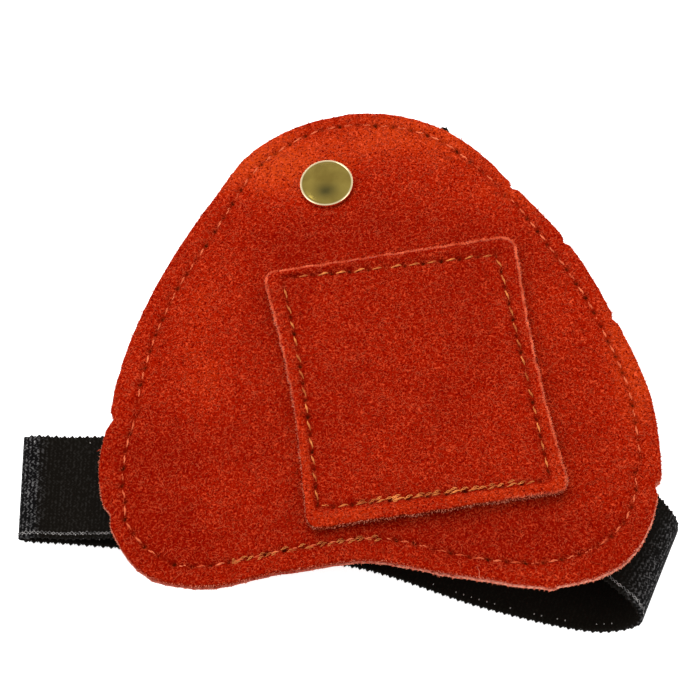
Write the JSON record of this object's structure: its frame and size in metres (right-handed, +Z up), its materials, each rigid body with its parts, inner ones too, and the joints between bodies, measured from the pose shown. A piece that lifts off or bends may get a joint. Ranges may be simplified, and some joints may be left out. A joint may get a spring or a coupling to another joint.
{
  "type": "archery hand pad glove",
  "caption": "Suede palm pad for archery with a sewn-on square patch, a brass snap, a wide elastic hand strap and a narrow elastic finger loop, lying on its strap.",
  "frame": {"origin": "middle of the footprint, at the height of the surface the pad lies on", "axes": "+X to the pad's right as seen from its front, +Y to the end with the snap, +Z up out of the pad's front"},
  "size_m": [0.1238, 0.1034, 0.0211],
  "materials": {
    "suede": "brushed suede, matt",
    "brass": "polished",
    "elastic": "woven elastic, matt"
  },
  "bodies": {
    "root": {"front_layer": "suede", "back_layer": "suede", "patch": "suede", "snap_cap": "brass", "snap_back": "brass", "strap": "elastic", "finger_loop": "elastic"}
  },
  "joints": []
}
